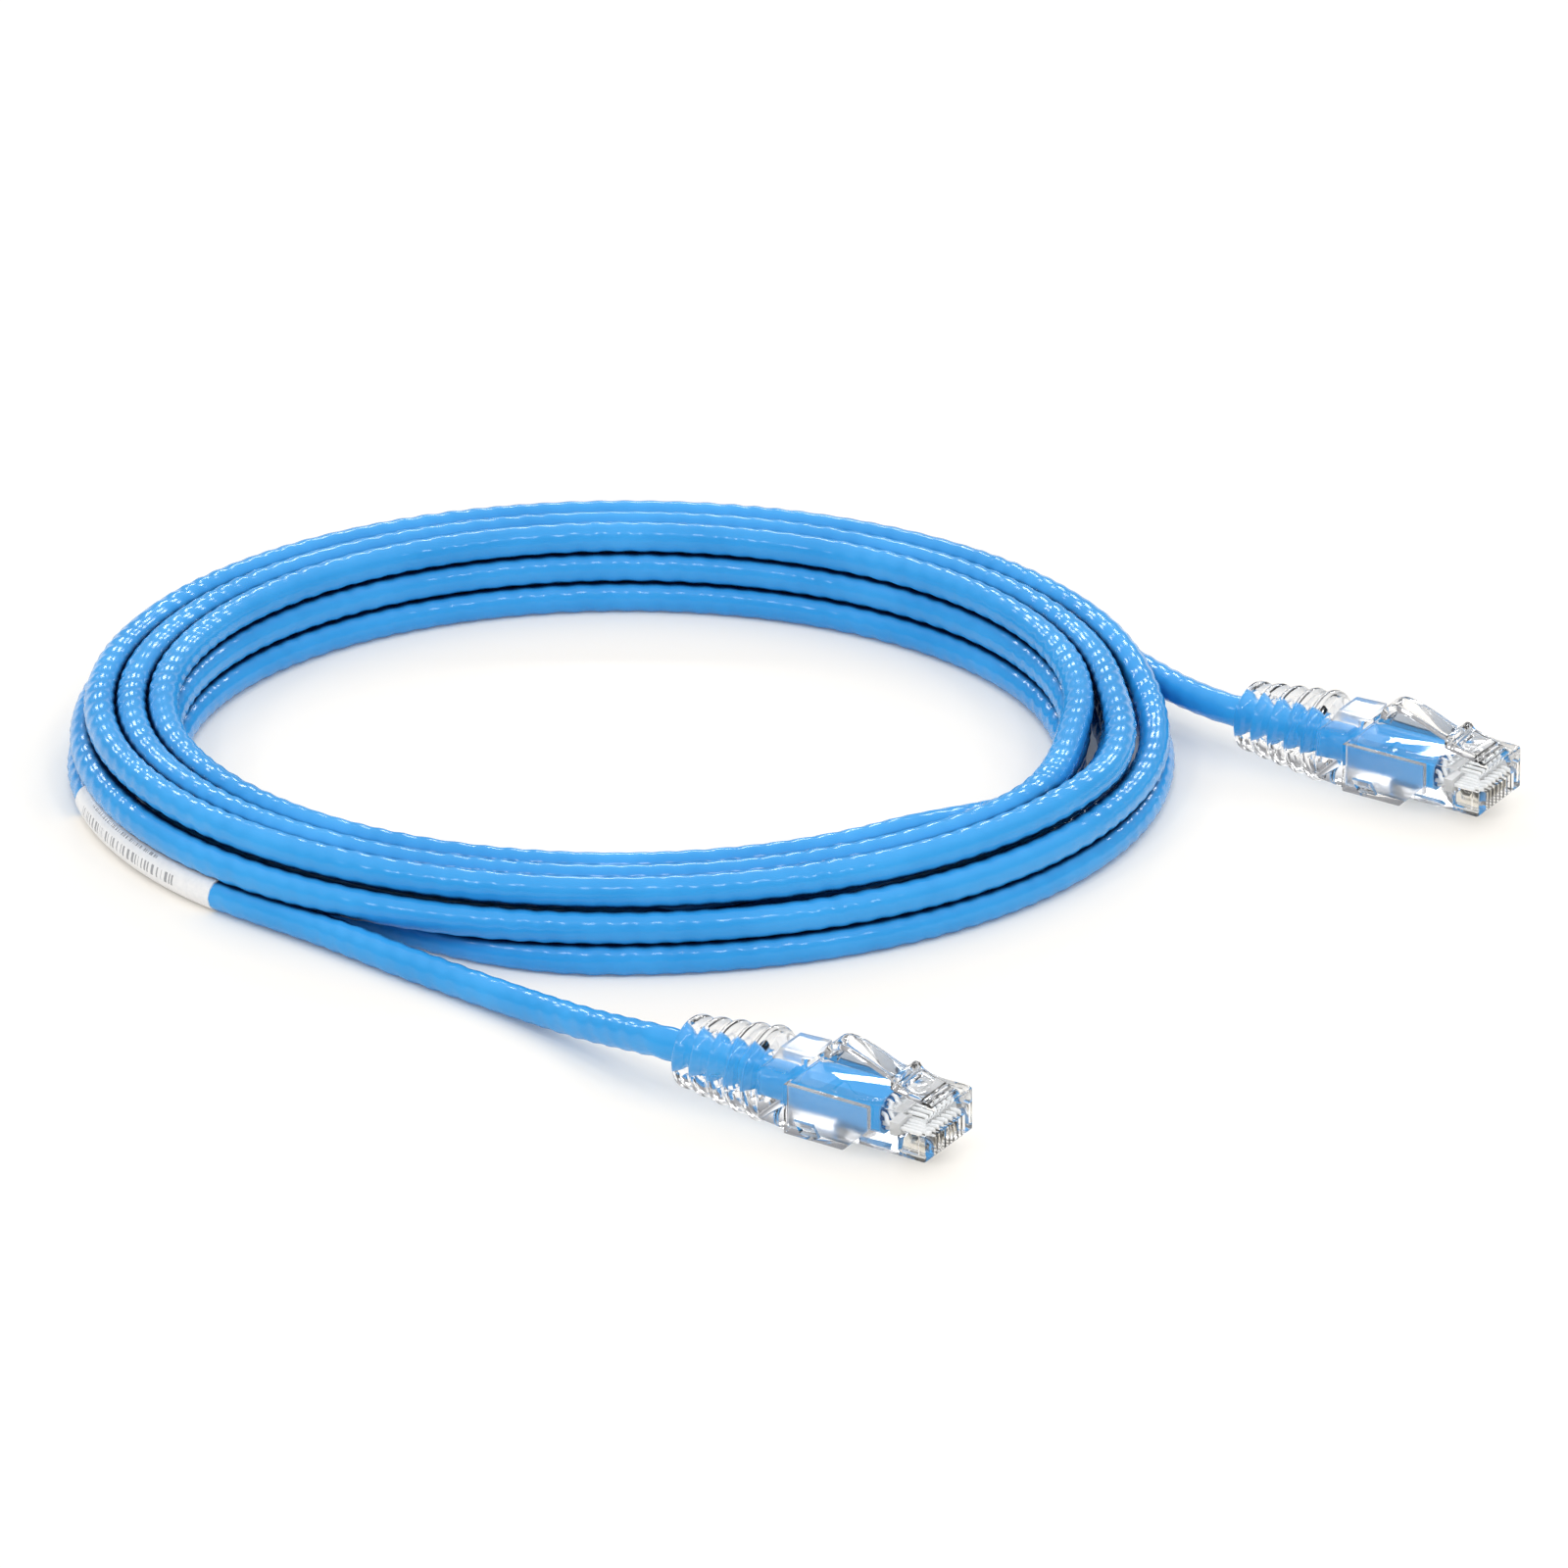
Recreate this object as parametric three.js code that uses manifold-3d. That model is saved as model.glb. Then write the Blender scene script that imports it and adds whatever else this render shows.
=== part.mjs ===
// An ethernet patch cord, coiled flat, with a clear modular plug and a clear ribbed boot at each end.
// Millimetres, +Z up. The coil is laid out about its own centre; the last lines move the whole cord so
// that the origin is the bottom centre of its box.
import * as THREE from "three";
import { mergeVertices } from "three/addons/utils/BufferGeometryUtils.js";
import Module from "manifold-3d";

const wasm = await Module();
wasm.setup();

// ---- Driving dimensions ----
const JACKET_D = 4.5; // outer diameter of the cord's jacket
const JACKET_R = JACKET_D / 2;
const GAP = 0.3; // clearance between touching pieces

// The coil: three columns of strands, three rows high, a little wider at the bottom than at the top.
const COLUMNS = 3;
const ROWS = 3;
const ROW_PITCH = 0.985 * JACKET_D;
const TOP_RADIUS = 74.5; // to the centre of the outer strand of the top row
const OUTWARD = [2.5, 2.1, 0]; // how far each row's outer strand stands out, from the floor up
const INWARD = [1.1, 0.5, 0]; // how far each row's inner strand stands in, from the floor up

// The plugs lie nose down and rolled a little, resting on the boot's largest rib.
const PLUG_HEADING = 33; // degrees, from +X towards -Y
const PLUG_PITCH = 2; // degrees, nose down
const PLUG_ROLL = 4; // degrees, far side up
const NOSE_A = [45.4, -143.7]; // floor position of each plug's nose, from the coil's centre
const NOSE_B = [124.9, -18.9];

// The modular plug, eight positions. Its own frame: nose at x = 0, the cord leaves along +X, latch on +Z.
const BODY_LENGTH = 21.5;
const BODY_WIDTH = 11.7;
const BODY_HEIGHT = 6.6;
const WAYS = 8;
const PITCH = 1.02; // between contacts
const AXIS_Z = 3.3; // height of the cord's axis in the plug
const JACKET_FRONT = 9; // where the stripped jacket ends
const BOOT_REAR = 42.5;

const WIRE_D = 0.78;
const WIRE_Z = 3.4;
const WIRE_FRONT = 1.6;
const FAN_RADIUS = 1.7; // circle that the wires leave the jacket on
const BLADE_THICKNESS = 0.35;
const SLOT_WIDTH = 0.6;

const LATCH_WIDTH = 6.2;
const LEVER_WIDTH = 3.6;

const BLOCK_REAR = 27.4; // where the boot's solid block ends and its ribs begin
const RIBS = 5;
const RIB_PITCH = 2.95;
const RIB_THICKNESS = 2.4;
const RIB_RADIUS = 6.7; // of the rib next to the block; each one behind it is smaller
const RIB_TAPER = 0.37;

const LABEL_GAP = 0.2;
const LABEL_WALL = 0.25;
const LABEL_FROM = 193; // degrees round the coil
const LABEL_TO = 224;

// ---- Materials ----
const jacketBlue = new THREE.MeshStandardMaterial({ color: 0x2484dd, roughness: 0.25, metalness: 0 });
const clearPlastic = new THREE.MeshStandardMaterial({ color: 0xeef2f4, roughness: 0.08, metalness: 0 });
const clearRubber = new THREE.MeshStandardMaterial({ color: 0xe9eef1, roughness: 0.15, metalness: 0 });
const whitePlastic = new THREE.MeshStandardMaterial({ color: 0xf4f4f2, roughness: 0.4, metalness: 0 });
const gold = new THREE.MeshStandardMaterial({ color: 0xd9b45a, roughness: 0.2, metalness: 1 });
const paper = new THREE.MeshStandardMaterial({ color: 0xf7f7f5, roughness: 0.6, metalness: 0 });
const insulation = new THREE.MeshStandardMaterial({ color: 0xf1f3f3, roughness: 0.35, metalness: 0 });

// ---- Solids ----
function toSolid(geometry) {
  const g = geometry.index ? geometry.toNonIndexed() : geometry.clone();
  g.deleteAttribute("normal");
  g.deleteAttribute("uv");
  const merged = mergeVertices(g, 1e-4);
  return new wasm.Manifold(
    new wasm.Mesh({
      numProp: 3,
      vertProperties: merged.attributes.position.array,
      triVerts: new Uint32Array(merged.index.array),
    }),
  );
}

function toGeometry(solid) {
  const mesh = solid.getMesh();
  const g = new THREE.BufferGeometry();
  g.setAttribute("position", new THREE.BufferAttribute(mesh.vertProperties, 3));
  g.setIndex(new THREE.BufferAttribute(mesh.triVerts, 1));
  return g;
}

function union(solids) {
  return solids.reduce((sum, next) => sum.add(next));
}

function without(solid, cutters) {
  return cutters.reduce((rest, cutter) => rest.subtract(cutter), solid);
}

function block(x0, x1, y0, y1, z0, z1) {
  const g = new THREE.BoxGeometry(x1 - x0, y1 - y0, z1 - z0);
  g.translate((x0 + x1) / 2, (y0 + y1) / 2, (z0 + z1) / 2);
  return toSolid(g);
}

// A flat outline in x and z, pulled across the plug from y = -halfWidth to y = +halfWidth.
function across(outline, halfWidth) {
  const shape = new THREE.Shape(outline.map(([x, z]) => new THREE.Vector2(x, z)));
  const g = new THREE.ExtrudeGeometry(shape, { depth: 2 * halfWidth, bevelEnabled: false });
  g.rotateX(Math.PI / 2);
  g.translate(0, halfWidth, 0);
  return toSolid(g);
}

// A solid turned about the cord's axis in the plug; profile holds [x, radius] pairs.
function turned(profile, sides) {
  const g = new THREE.LatheGeometry(profile.map(([x, r]) => new THREE.Vector2(r, x)), sides);
  g.rotateZ(-Math.PI / 2);
  g.translate(0, 0, AXIS_Z);
  return toSolid(g);
}

function rod(x0, x1, radius, sides) {
  return turned([[x0, 0], [x0, radius], [x1, radius], [x1, 0]], sides);
}

function polygon(radius, sides) {
  const points = [];
  for (let i = 0; i < sides; i++) {
    const a = (i / sides) * 2 * Math.PI;
    points.push(new THREE.Vector2(radius * Math.cos(a), radius * Math.sin(a)));
  }
  return points;
}

function alongPath(section, points, steps) {
  const path = new THREE.CatmullRomCurve3(points, false, "centripetal");
  return new THREE.ExtrudeGeometry(section, { steps, extrudePath: path, bevelEnabled: false });
}

function tube(points, radius, sides, steps) {
  return alongPath(new THREE.Shape(polygon(radius, sides)), points, steps);
}

function named(name, geometry, material) {
  const mesh = new THREE.Mesh(geometry, material);
  mesh.name = name;
  return mesh;
}

// ---- The plug ----
function slotY(i) {
  return (i - (WAYS - 1) / 2) * PITCH;
}

function makeHousing() {
  const half = BODY_WIDTH / 2;
  const outline = [
    [0, 0.5], [0.5, 0], [BODY_LENGTH, 0],
    [BODY_LENGTH, BODY_HEIGHT], [0.3, BODY_HEIGHT], [0, 6.3],
  ];
  const body = across(outline, half);
  const root = across([[0.3, 6.4], [1.35, 6.4], [1.35, 7.4], [0.7, 7.4], [0.3, 7]], LATCH_WIDTH / 2);
  const cutters = [
    block(6.4, 22, -2.9, 2.9, 0.7, 5.9), // jacket bay
    block(4.5, 9.3, -5, 5, 2.2, 4.6), // load bar bay
    block(1.3, 4.8, -4.3, 4.3, 2.85, 3.95), // wires
    block(11.5, 15.5, -2.7, 2.7, -1, 1), // crimp bar window
  ];
  for (let i = 0; i < WAYS; i++) {
    cutters.push(block(-1, 5, slotY(i) - SLOT_WIDTH / 2, slotY(i) + SLOT_WIDTH / 2, -1, 3.2));
  }
  for (const side of [-1, 1]) {
    const near = side * (half - 0.4);
    const far = side * (half + 1);
    cutters.push(block(1.2, 4.4, Math.min(near, far), Math.max(near, far), 0.9, 3.9)); // grip recess
  }
  return toGeometry(without(union([body, root]), cutters));
}

function makeLatch() {
  const tongue = across(
    [
      [1.65, 6.95], [2.6, 6.9], [7.4, 7.9], [7.4, 9.7], [6.6, 9.7],
      [5.9, 8.9], [4.2, 8.4], [2.9, 8.2], [1.65, 7.6],
    ],
    LATCH_WIDTH / 2,
  );
  const lever = across(
    [
      [7.2, 8], [9, 8.6], [12.5, 9.9], [15.6, 10.9], [16.6, 10.9], [17.4, 10.3], [17.9, 8.9],
      [18.9, 8.9], [18.5, 10.6], [17.6, 11.6], [16.4, 11.9], [15, 11.7], [12, 10.9], [9, 9.7], [7.2, 9],
    ],
    LEVER_WIDTH / 2,
  );
  return toGeometry(union([tongue, lever]));
}

function ribProfile() {
  const points = [[BLOCK_REAR - 2, 0], [BLOCK_REAR - 2, RIB_RADIUS - 2.2]];
  for (let i = 0; i < RIBS; i++) {
    const front = BLOCK_REAR + i * RIB_PITCH;
    const rear = front + RIB_THICKNESS;
    const top = RIB_RADIUS - RIB_TAPER * i;
    points.push([front, top - 2.2], [front + 0.1, top - 0.8], [front + 0.7, top]);
    points.push([rear - 0.7, top], [rear - 0.1, top - 0.8], [rear, top - 2.2]);
  }
  points.push([BOOT_REAR, JACKET_R + 0.75], [BOOT_REAR, 0]);
  return points;
}

function makeBoot() {
  const half = BODY_WIDTH / 2;
  const collar = across([[8.6, 6.4], [8.6, 3], [12.6, -1], [22, -1], [22, 6.4]], half + 1);
  const innerHalf = half + GAP;
  const bay = block(8, BODY_LENGTH + GAP, -innerHalf, innerHalf, -GAP, 9);
  const back = across(
    [[21.9, -1.6], [BLOCK_REAR, -1], [BLOCK_REAR, 6.6], [26, 7.4], [21.9, 7.4]],
    half - 0.4,
  );
  const hood = across([[20.2, 8.6], [20.2, 9.5], [25.2, 9.3], [26.6, 7.2], [21.9, 7.2], [21.9, 8.4]], 2.5);
  const ribs = turned(ribProfile(), 20);
  const bore = rod(20, BOOT_REAR + 1, JACKET_R + GAP, 20);
  const windows = [];
  for (const side of [-1, 1]) {
    const near = side * (half + 0.1);
    const far = side * (half + 2);
    const [y0, y1] = [Math.min(near, far), Math.max(near, far)];
    windows.push(block(16.4, 20.2, y0, y1, -0.4, 1.3)); // side window of the collar
  }
  return toGeometry(without(union([collar.subtract(bay), back, hood, ribs]), [bore, ...windows]));
}

function makeLoadBar() {
  const bar = block(4.8, 6.2, -4.7, 4.7, 2.45, 4.35);
  const holes = [];
  for (let i = 0; i < WAYS; i++) {
    const hole = new THREE.CylinderGeometry(0.48, 0.48, 3, 8);
    hole.rotateZ(Math.PI / 2);
    hole.translate(5.5, slotY(i), WIRE_Z);
    holes.push(toSolid(hole));
  }
  return toGeometry(without(bar, holes));
}

// A contact blade: a flat stamping with two points on its upper edge.
function makeContact(i) {
  const outline = [
    [0.9, 0.9], [1.2, 0.6], [4.6, 0.6], [4.6, 2.1], [4, 2.7],
    [3.5, 2.1], [2.5, 2.1], [2, 2.7], [1.5, 2.1], [0.9, 2.1],
  ];
  const blade = across(outline, BLADE_THICKNESS / 2);
  return toGeometry(blade.translate([0, slotY(i), 0]));
}

// Each wire leaves the jacket on a circle, fans out and then runs straight over its contact.
function makeWire(i) {
  const upper = i % 2 === 1;
  const level = Math.floor(i / 2); // four pairs of places, from -Y to +Y
  const fromY = (180 - 22.5 - level * 45) * (Math.PI / 180);
  const y = FAN_RADIUS * Math.cos(fromY);
  const z = AXIS_Z + (upper ? 1 : -1) * FAN_RADIUS * Math.sin(fromY);
  const points = [
    new THREE.Vector3(JACKET_FRONT - GAP, y, z),
    new THREE.Vector3(JACKET_FRONT - 0.9, y, z),
    new THREE.Vector3(6.8, slotY(i), WIRE_Z),
    new THREE.Vector3(4.6, slotY(i), WIRE_Z),
    new THREE.Vector3(WIRE_FRONT, slotY(i), WIRE_Z),
  ];
  return tube(points, WIRE_D / 2, 6, 9);
}

function makePlug(letter, [noseX, noseY]) {
  const plug = new THREE.Group();
  plug.add(named("housing_" + letter, makeHousing(), clearPlastic));
  plug.add(named("latch_" + letter, makeLatch(), clearPlastic));
  plug.add(named("boot_" + letter, makeBoot(), clearRubber));
  plug.add(named("load_bar_" + letter, makeLoadBar(), whitePlastic));
  plug.add(named("crimp_bar_" + letter, toGeometry(block(11.8, 15.2, -2.4, 2.4, 0.1, 0.75)), clearPlastic));
  const jacketEnd = toGeometry(rod(JACKET_FRONT, BOOT_REAR - GAP, JACKET_R, 12));
  plug.add(named("jacket_end_" + letter, jacketEnd, jacketBlue));
  for (let i = 0; i < WAYS; i++) {
    plug.add(named("contact_" + letter + (i + 1), makeContact(i), gold));
    plug.add(named("wire_" + letter + (i + 1), makeWire(i), insulation));
  }
  const radians = THREE.MathUtils.degToRad;
  plug.rotation.set(-radians(PLUG_ROLL), -radians(PLUG_PITCH), Math.PI - radians(PLUG_HEADING), "ZYX");
  plug.position.set(noseX, noseY, 0);
  plug.position.z = -new THREE.Box3().setFromObject(plug, true).min.z; // its lowest edge on the floor
  plug.updateMatrixWorld(true);
  return plug;
}

// ---- The cord ----
function rowHeight(row) {
  return JACKET_R + row * ROW_PITCH;
}

function outerRadius(row) {
  return TOP_RADIUS + OUTWARD[row];
}

function innerRadius(row) {
  return TOP_RADIUS - (COLUMNS - 1) * JACKET_D - INWARD[row];
}

function onCoil(degrees, radius, z) {
  const a = THREE.MathUtils.degToRad(degrees);
  return new THREE.Vector3(radius * Math.cos(a), radius * Math.sin(a), z);
}

// Points in a plug's own frame along its cord, from its boot outwards.
function behindBoot(plug, distances) {
  return distances.map((d) => plug.localToWorld(new THREE.Vector3(BOOT_REAR + d, 0, AXIS_Z)));
}

// The end that leaves the foot of the coil at its outside, with the label on its last part round the coil.
function routeA(plug) {
  const z = JACKET_R + LABEL_GAP + LABEL_WALL + 0.05;
  const points = [];
  for (let degrees = 188; degrees <= 228; degrees += 8) {
    points.push(onCoil(degrees, outerRadius(0), z));
  }
  const floor = JACKET_R + 0.05;
  points.push(
    new THREE.Vector3(-40, -67.7, 2.5),
    new THREE.Vector3(-29, -78.3, floor),
    new THREE.Vector3(-17.5, -89.4, floor + 0.2),
    new THREE.Vector3(-9.3, -98.2, 3.2),
    new THREE.Vector3(-3.2, -105.8, 4.4),
    new THREE.Vector3(2.2, -113, 6),
    ...behindBoot(plug, [3.5, 0]),
  );
  return points;
}

// The end that leaves the middle row at the outside of the coil and crosses the strand below it.
function routeB(plug) {
  return [
    onCoil(32, outerRadius(1), rowHeight(1)),
    onCoil(29, outerRadius(1), rowHeight(1)),
    new THREE.Vector3(71.3, 29.3, 6.7),
    new THREE.Vector3(76.1, 20.8, 6.8),
    new THREE.Vector3(80.8, 13, 7),
    ...behindBoot(plug, [3, 0]),
  ];
}

// A channel cut into the coil round a lead. It is open towards the outside; it may also be open below.
function channel(points, clear, below) {
  const section = new THREE.Shape([
    new THREE.Vector2(-clear, -12),
    new THREE.Vector2(below, -12),
    new THREE.Vector2(below, clear),
    new THREE.Vector2(-clear, clear),
  ]);
  return toSolid(alongPath(section, points, 24));
}

function makeCoil(leadA, leadB) {
  const profile = [];
  for (let row = 0; row < ROWS; row++) {
    profile.push([outerRadius(row) + JACKET_R, rowHeight(row) - (row ? 0 : JACKET_R)]);
  }
  const top = rowHeight(ROWS - 1) + JACKET_R;
  profile.push([outerRadius(ROWS - 1) + JACKET_R, top], [innerRadius(ROWS - 1) - JACKET_R, top]);
  for (let row = ROWS - 1; row >= 0; row--) {
    profile.push([innerRadius(row) - JACKET_R, rowHeight(row) - (row ? 0 : JACKET_R)]);
  }
  profile.push(profile[0]);
  const lathe = new THREE.LatheGeometry(profile.map(([r, z]) => new THREE.Vector2(r, z)), 96);
  lathe.rotateX(Math.PI / 2);
  const labelled = JACKET_R + LABEL_GAP + LABEL_WALL + GAP; // half the width of the groove for lead A
  const startA = onCoil(187, outerRadius(0), leadA[0].z);
  const startB = onCoil(32.6, outerRadius(1), leadB[0].z);
  const cutA = channel([startA, ...leadA.slice(0, 9)], labelled, 10);
  const cutB = channel([startB, ...leadB.slice(0, 6)], JACKET_R + GAP, JACKET_R + GAP);
  return toGeometry(without(toSolid(lathe), [cutA, cutB]));
}

function makeLabel() {
  const z = JACKET_R + LABEL_GAP + LABEL_WALL + 0.05;
  const points = [];
  for (let degrees = LABEL_FROM; degrees <= LABEL_TO + 0.1; degrees += (LABEL_TO - LABEL_FROM) / 6) {
    points.push(onCoil(degrees, outerRadius(0), z));
  }
  const section = new THREE.Shape(polygon(JACKET_R + LABEL_GAP + LABEL_WALL, 12));
  section.holes.push(new THREE.Path(polygon(JACKET_R + LABEL_GAP, 12)));
  return alongPath(section, points, 12);
}

// ---- The whole cord ----
const cord = new THREE.Group();
const plugA = makePlug("a", NOSE_A);
const plugB = makePlug("b", NOSE_B);
const leadA = routeA(plugA);
const leadB = routeB(plugB);
cord.add(plugA, plugB);
cord.add(named("coil", makeCoil(leadA, leadB), jacketBlue));
cord.add(named("lead_a", tube(leadA, JACKET_R, 10, 56), jacketBlue));
cord.add(named("lead_b", tube(leadB, JACKET_R, 10, 20), jacketBlue));
cord.add(named("label", makeLabel(), paper));

const box = new THREE.Box3().setFromObject(cord, true);
cord.position.set(-(box.min.x + box.max.x) / 2, -(box.min.y + box.max.y) / 2, -box.min.z);

export default cord;
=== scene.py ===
"""The looks of a coiled ethernet patch cord with a clear modular plug and a clear ribbed boot on each end.

Lengths are millimetres until a mesh is placed; MM turns them into the frame's metres. Coil places are
counted from the coil's centre, plug places from the lower middle of the plug's nose, with the cord
leaving along the plug's own +X and the latch on its +Z.
"""
import math

import bmesh
import bpy
import numpy as np
from mathutils import Matrix, Vector


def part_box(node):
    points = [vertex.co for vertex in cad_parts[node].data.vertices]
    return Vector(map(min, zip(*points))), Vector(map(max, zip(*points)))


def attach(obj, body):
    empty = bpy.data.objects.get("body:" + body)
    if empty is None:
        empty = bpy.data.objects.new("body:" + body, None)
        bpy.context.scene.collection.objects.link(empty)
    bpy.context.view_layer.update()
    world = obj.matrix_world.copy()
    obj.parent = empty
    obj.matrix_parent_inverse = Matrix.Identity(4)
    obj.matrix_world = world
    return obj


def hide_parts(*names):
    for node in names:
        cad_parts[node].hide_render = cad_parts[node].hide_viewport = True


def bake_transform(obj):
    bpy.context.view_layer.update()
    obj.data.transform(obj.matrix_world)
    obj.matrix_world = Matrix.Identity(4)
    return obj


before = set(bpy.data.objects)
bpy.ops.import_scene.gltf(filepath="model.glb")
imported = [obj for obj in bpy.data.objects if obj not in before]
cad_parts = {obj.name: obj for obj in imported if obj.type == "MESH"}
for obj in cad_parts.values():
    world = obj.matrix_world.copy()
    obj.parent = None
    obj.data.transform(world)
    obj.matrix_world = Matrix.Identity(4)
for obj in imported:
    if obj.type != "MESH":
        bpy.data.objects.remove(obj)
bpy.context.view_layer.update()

MM = 0.001

# ---- The same driving dimensions as the CAD part ----
JACKET_D = 4.5
JACKET_R = JACKET_D / 2
COLUMNS = 3
ROW_PITCH = 0.985 * JACKET_D
TOP_RADIUS = 74.5
OUTWARD = (2.5, 2.1, 0)
INWARD = (1.1, 0.5, 0)
PLUG_HEADING, PLUG_PITCH, PLUG_ROLL = 33, 2, 4
BODY_LENGTH, BODY_WIDTH, BODY_HEIGHT = 21.5, 11.7, 6.6
WAYS, PITCH = 8, 1.02
AXIS_Z = 3.3
JACKET_FRONT = 9
BOOT_REAR = 42.5
CRIMP_BAR_CENTRE = (13.5, 0, 0.425)
LATCH_WIDTH, LEVER_WIDTH = 6.2, 3.6
BLOCK_REAR = 27.4
COLLAR_GAP = 0.15
RIBS, RIB_PITCH, RIB_THICKNESS = 5, 2.95, 2.4
RIB_RADIUS, RIB_TAPER = 6.7, 0.37
LABEL_FROM, LABEL_TO = 193, 224


def middle(node):
    low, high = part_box(node)
    return (Vector(low) + Vector(high)) / 2


coil_low, coil_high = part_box("coil")
COIL = Vector(((coil_low[0] + coil_high[0]) / 2, (coil_low[1] + coil_high[1]) / 2, coil_low[2]))


def plug_frame(letter):
    """Millimetres in the plug's own frame to metres in the row frame."""
    turn = (
        Matrix.Rotation(math.pi - math.radians(PLUG_HEADING), 4, "Z")
        @ Matrix.Rotation(-math.radians(PLUG_PITCH), 4, "Y")
        @ Matrix.Rotation(-math.radians(PLUG_ROLL), 4, "X")
    )
    scaled = turn @ Matrix.Scale(MM, 4)
    return Matrix.Translation(middle("crimp_bar_" + letter) - scaled @ Vector(CRIMP_BAR_CENTRE)) @ scaled


PLUGS = {letter: plug_frame(letter) for letter in "ab"}

# ---- Camera: a long lens, looking down at the coil ----
VIEW_DROP = math.radians(21.54)
view_from = COIL + Vector((23.3, -1843.6, 725.5)) * MM
camera = bpy.data.objects.new("camera", bpy.data.cameras.new("camera"))
camera.data.sensor_width = 36
camera.data.lens = 317.4
camera.data.clip_end = 20
camera.location = view_from
camera.rotation_euler = (math.pi / 2 - VIEW_DROP, 0, 0)
bpy.context.scene.collection.objects.link(camera)
bpy.context.scene.camera = camera


# ---- Mesh tools ----
WALL_INSIDE = 0.8  # a tube's inner radius over its outer one


def new_object(name, mesh):
    obj = bpy.data.objects.new(name, mesh)
    bpy.context.scene.collection.objects.link(obj)
    return obj


def from_bmesh(name, bm):
    bmesh.ops.recalc_face_normals(bm, faces=bm.faces)
    mesh = bpy.data.meshes.new(name)
    bm.to_mesh(mesh)
    bm.free()
    return new_object(name, mesh)


def block(x0, x1, y0, y1, z0, z1):
    bm = bmesh.new()
    bmesh.ops.create_cube(bm, size=1)
    size = Vector((x1 - x0, y1 - y0, z1 - z0))
    centre = Vector((x0 + x1, y0 + y1, z0 + z1)) / 2
    for v in bm.verts:
        v.co = Vector(a * b for a, b in zip(v.co, size)) + centre
    return from_bmesh("block", bm)


def across(outline, half_width, y=0.0):
    """A flat outline in x and z, pulled across the plug."""
    bm = bmesh.new()
    near = [bm.verts.new((x, y - half_width, z)) for x, z in outline]
    far = [bm.verts.new((x, y + half_width, z)) for x, z in outline]
    count = len(outline)
    bm.faces.new(near)
    bm.faces.new(list(reversed(far)))
    for i in range(count):
        j = (i + 1) % count
        bm.faces.new((near[i], far[i], far[j], near[j]))
    return from_bmesh("across", bm)


def turned(profile, sides):
    """A solid turned about the cord's axis in the plug; profile holds (x, radius) pairs, first and last on
    the axis."""
    bm = bmesh.new()
    rings = []
    for x, r in profile:
        if r < 1e-6:
            rings.append([bm.verts.new((x, 0, AXIS_Z))])
            continue
        ring = []
        for i in range(sides):
            a = 2 * math.pi * i / sides
            ring.append(bm.verts.new((x, r * math.cos(a), AXIS_Z + r * math.sin(a))))
        rings.append(ring)
    for one, two in zip(rings, rings[1:]):
        for i in range(sides):
            j = (i + 1) % sides
            corners = [one[i % len(one)], one[j % len(one)], two[j % len(two)], two[i % len(two)]]
            unique = list(dict.fromkeys(corners))
            if len(unique) > 2:
                bm.faces.new(unique)
    return from_bmesh("turned", bm)


def apply_modifiers(obj):
    graph = bpy.context.evaluated_depsgraph_get()
    mesh = bpy.data.meshes.new_from_object(obj.evaluated_get(graph))
    obj.modifiers.clear()
    old, obj.data = obj.data, mesh
    bpy.data.meshes.remove(old)
    return obj


def combine(obj, others, operation):
    """Adds the others to obj, or cuts them out of it, and removes them."""
    for other in others:
        step = obj.modifiers.new("combine", "BOOLEAN")
        step.operation = operation
        step.solver = "EXACT"
        step.object = other
    apply_modifiers(obj)
    for other in others:
        bpy.data.objects.remove(other)
    return obj


def rounded(obj, width, segments=2, angle=28):
    tidy = obj.modifiers.new("tidy", "DECIMATE")
    tidy.decimate_type = "DISSOLVE"
    tidy.angle_limit = math.radians(0.5)
    bevel = obj.modifiers.new("bevel", "BEVEL")
    bevel.width = width
    bevel.segments = segments
    bevel.limit_method = "ANGLE"
    bevel.angle_limit = math.radians(angle)
    bevel.use_clamp_overlap = True
    return apply_modifiers(obj)


def shade_smooth(obj, angle=35):
    obj.data.shade_smooth()
    obj.data.set_sharp_from_angle(angle=math.radians(angle))
    return obj


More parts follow.
